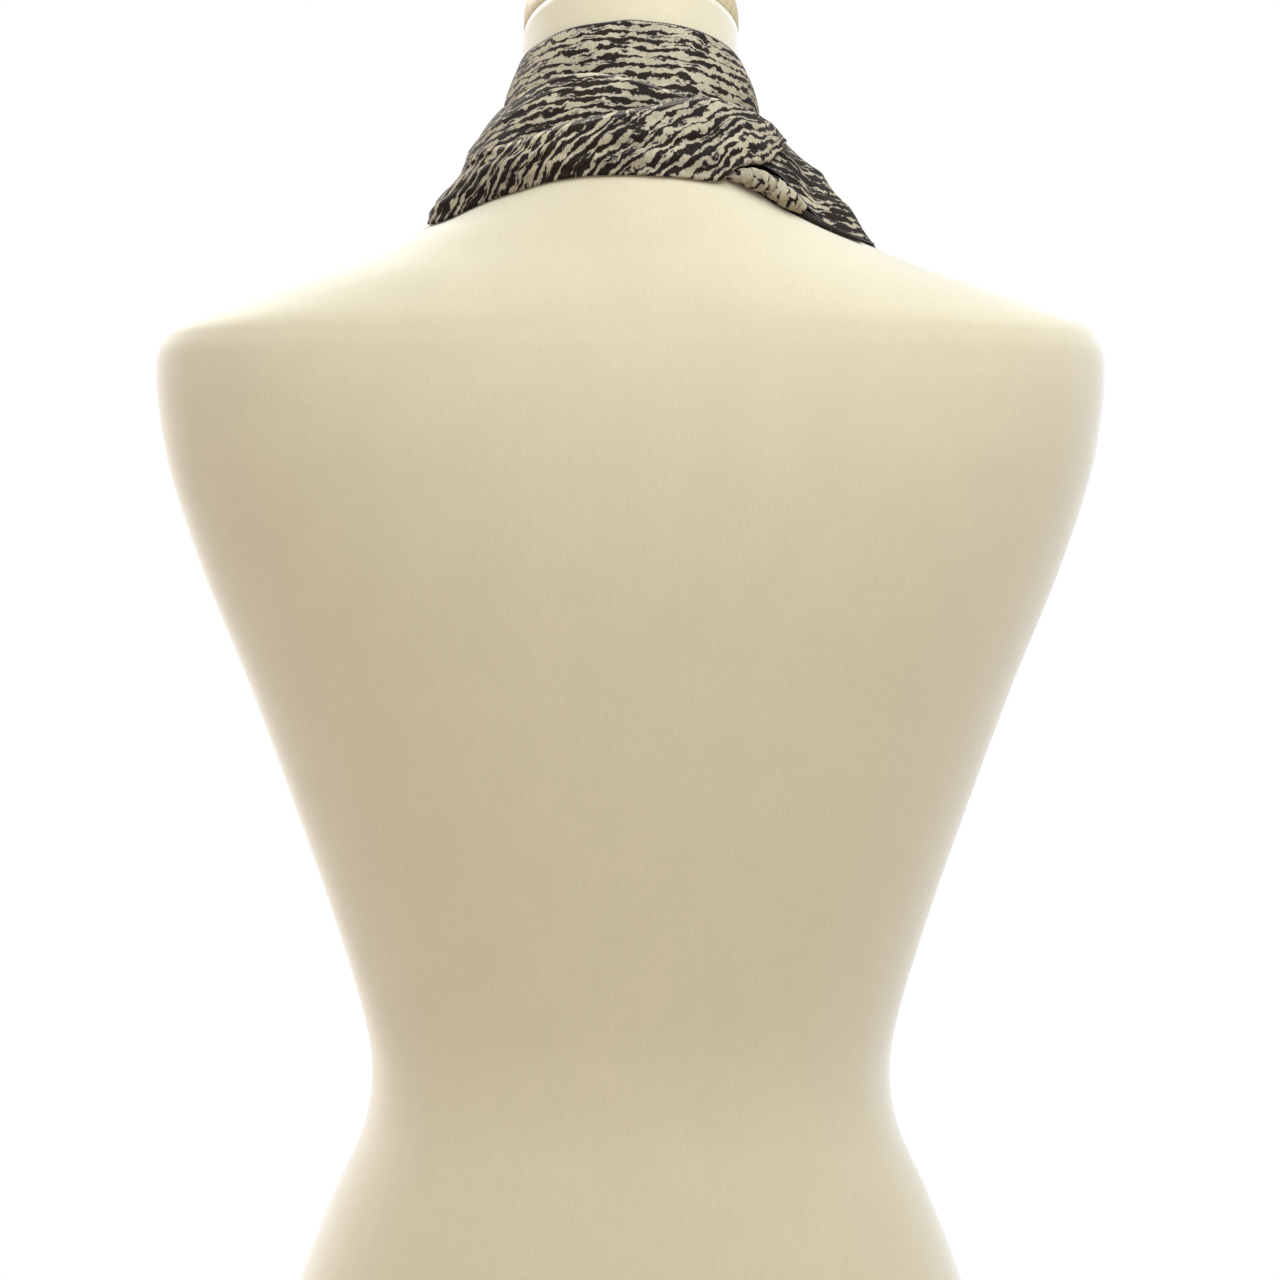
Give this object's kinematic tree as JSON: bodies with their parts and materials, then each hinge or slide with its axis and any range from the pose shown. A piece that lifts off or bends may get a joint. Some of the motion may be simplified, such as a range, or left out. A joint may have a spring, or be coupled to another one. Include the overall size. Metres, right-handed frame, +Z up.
{
  "type": "stole on a dress form",
  "caption": "Patterned stole wound round the neck of a limbless jersey-covered dress form with a wooden neck cap, its ends hanging down in front.",
  "frame": {"origin": "middle of the form's flat underside, at Z = 0", "axes": "+Z up the body; -Y the way the form's chest faces, +Y its back; +X the form's left side, -X its right"},
  "size_m": [0.4016, 0.2479, 0.7],
  "materials": {
    "jersey": "cream knitted jersey stretched over the form, matt",
    "wood": "turned light wood, satin",
    "printed_cloth": "thin finely ribbed cloth, khaki beige with uneven dark aubergine stripes, soft sheen"
  },
  "bodies": {
    "root": {"torso": "jersey", "neck_cap": "wood", "neck_band": "printed_cloth", "back_fold": "printed_cloth", "throat_cowl": "printed_cloth", "back_wrap": "printed_cloth", "left_tail": "printed_cloth", "shoulder_drape": "printed_cloth", "right_tail": "printed_cloth", "shoulder_roll": "printed_cloth"}
  },
  "joints": []
}
